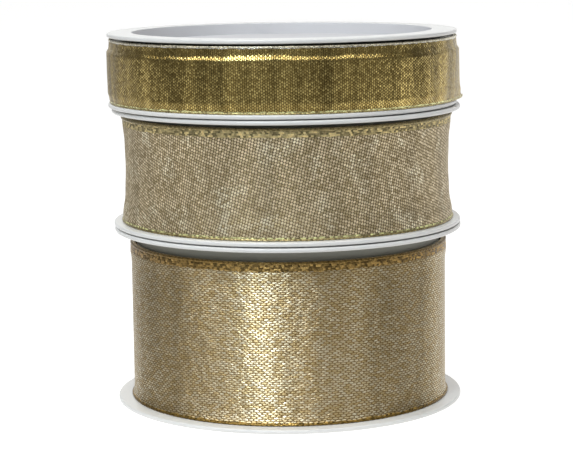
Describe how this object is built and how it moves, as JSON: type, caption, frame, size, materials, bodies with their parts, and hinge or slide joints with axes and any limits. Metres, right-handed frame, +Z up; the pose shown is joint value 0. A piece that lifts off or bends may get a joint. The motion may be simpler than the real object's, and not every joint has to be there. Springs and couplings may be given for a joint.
{
  "type": "ribbon spool stack",
  "caption": "Stack of flanged ribbon spools, each a core tube between two press-in flanges, wound with metallic wired gift ribbon, widest ribbon at the bottom, narrowest on top.",
  "frame": {"origin": "centre of the stack's footprint at the surface that it stands on, on the lowest spool's axis", "axes": "+Z up along the spools' axes; -Y faces the viewer; the narrow spool's loose end points to +X"},
  "size_m": [0.0853, 0.0841, 0.0892],
  "materials": {
    "white_plastic": "satin moulded, white",
    "core_plastic": "matt extruded tube, off-white",
    "wide_ribbon": "champagne gold metallic satin weave",
    "medium_ribbon": "champagne metallic plain weave with a coarse grain",
    "narrow_ribbon": "olive gold foil weave, bright and slightly crumpled",
    "edge_wire": "thin drawn wire, lacquered gold",
    "paper_tape": "plain paper tape"
  },
  "bodies": {
    "wide_base": {"wide_lower_flange": "white_plastic"},
    "wide_reel": {"wide_core": "core_plastic", "wide_core_tape": "paper_tape", "wide_ribbon_roll": "wide_ribbon", "wide_lower_wire": "edge_wire", "wide_upper_wire": "edge_wire", "wide_upper_flange": "white_plastic"},
    "wide_loose_end": {"wide_tail": "wide_ribbon"},
    "medium_base": {"medium_lower_flange": "white_plastic"},
    "medium_reel": {"medium_core": "core_plastic", "medium_core_tape": "paper_tape", "medium_ribbon_roll": "medium_ribbon", "medium_lower_wire": "edge_wire", "medium_upper_wire": "edge_wire", "medium_upper_flange": "white_plastic"},
    "medium_loose_end": {"medium_tail": "medium_ribbon"},
    "narrow_base": {"narrow_lower_flange": "white_plastic"},
    "narrow_reel": {"narrow_core": "core_plastic", "narrow_core_tape": "paper_tape", "narrow_ribbon_roll": "narrow_ribbon", "narrow_lower_wire": "edge_wire", "narrow_upper_wire": "edge_wire", "narrow_upper_flange": "white_plastic"},
    "narrow_loose_end": {"narrow_tail": "narrow_ribbon"}
  },
  "joints": [
    {"name": "wide_turn", "type": "hinge", "parent": "wide_base", "child": "wide_reel", "pos_m": [0, 0, 0], "axis": [0, 0, 1], "continuous": true},
    {"name": "wide_tail_peel", "type": "hinge", "parent": "wide_reel", "child": "wide_loose_end", "pos_m": [0.00257, 0.03826, 0.0213], "axis": [0, 0, -1], "range_deg": [0, 75]},
    {"name": "medium_lift", "type": "slide", "parent": "wide_reel", "child": "medium_base", "axis": [0, 0, 1], "range_m": [0, 0.06]},
    {"name": "medium_turn", "type": "hinge", "parent": "medium_base", "child": "medium_reel", "pos_m": [-0.0001, 0.0001, 0.0429], "axis": [0, 0, 1], "continuous": true},
    {"name": "medium_tail_peel", "type": "hinge", "parent": "medium_reel", "child": "medium_loose_end", "pos_m": [0.03312, 0.02082, 0.05705], "axis": [0, 0, -1], "range_deg": [0, 75]},
    {"name": "narrow_lift", "type": "slide", "parent": "medium_reel", "child": "narrow_base", "axis": [0, 0, 1], "range_m": [0, 0.06]},
    {"name": "narrow_turn", "type": "hinge", "parent": "narrow_base", "child": "narrow_reel", "pos_m": [-0.0009, 0.0001, 0.0715], "axis": [0, 0, 1], "continuous": true},
    {"name": "narrow_tail_peel", "type": "hinge", "parent": "narrow_reel", "child": "narrow_loose_end", "pos_m": [0.03422, -0.02229, 0.08035], "axis": [0, 0, -1], "range_deg": [0, 75]}
  ]
}
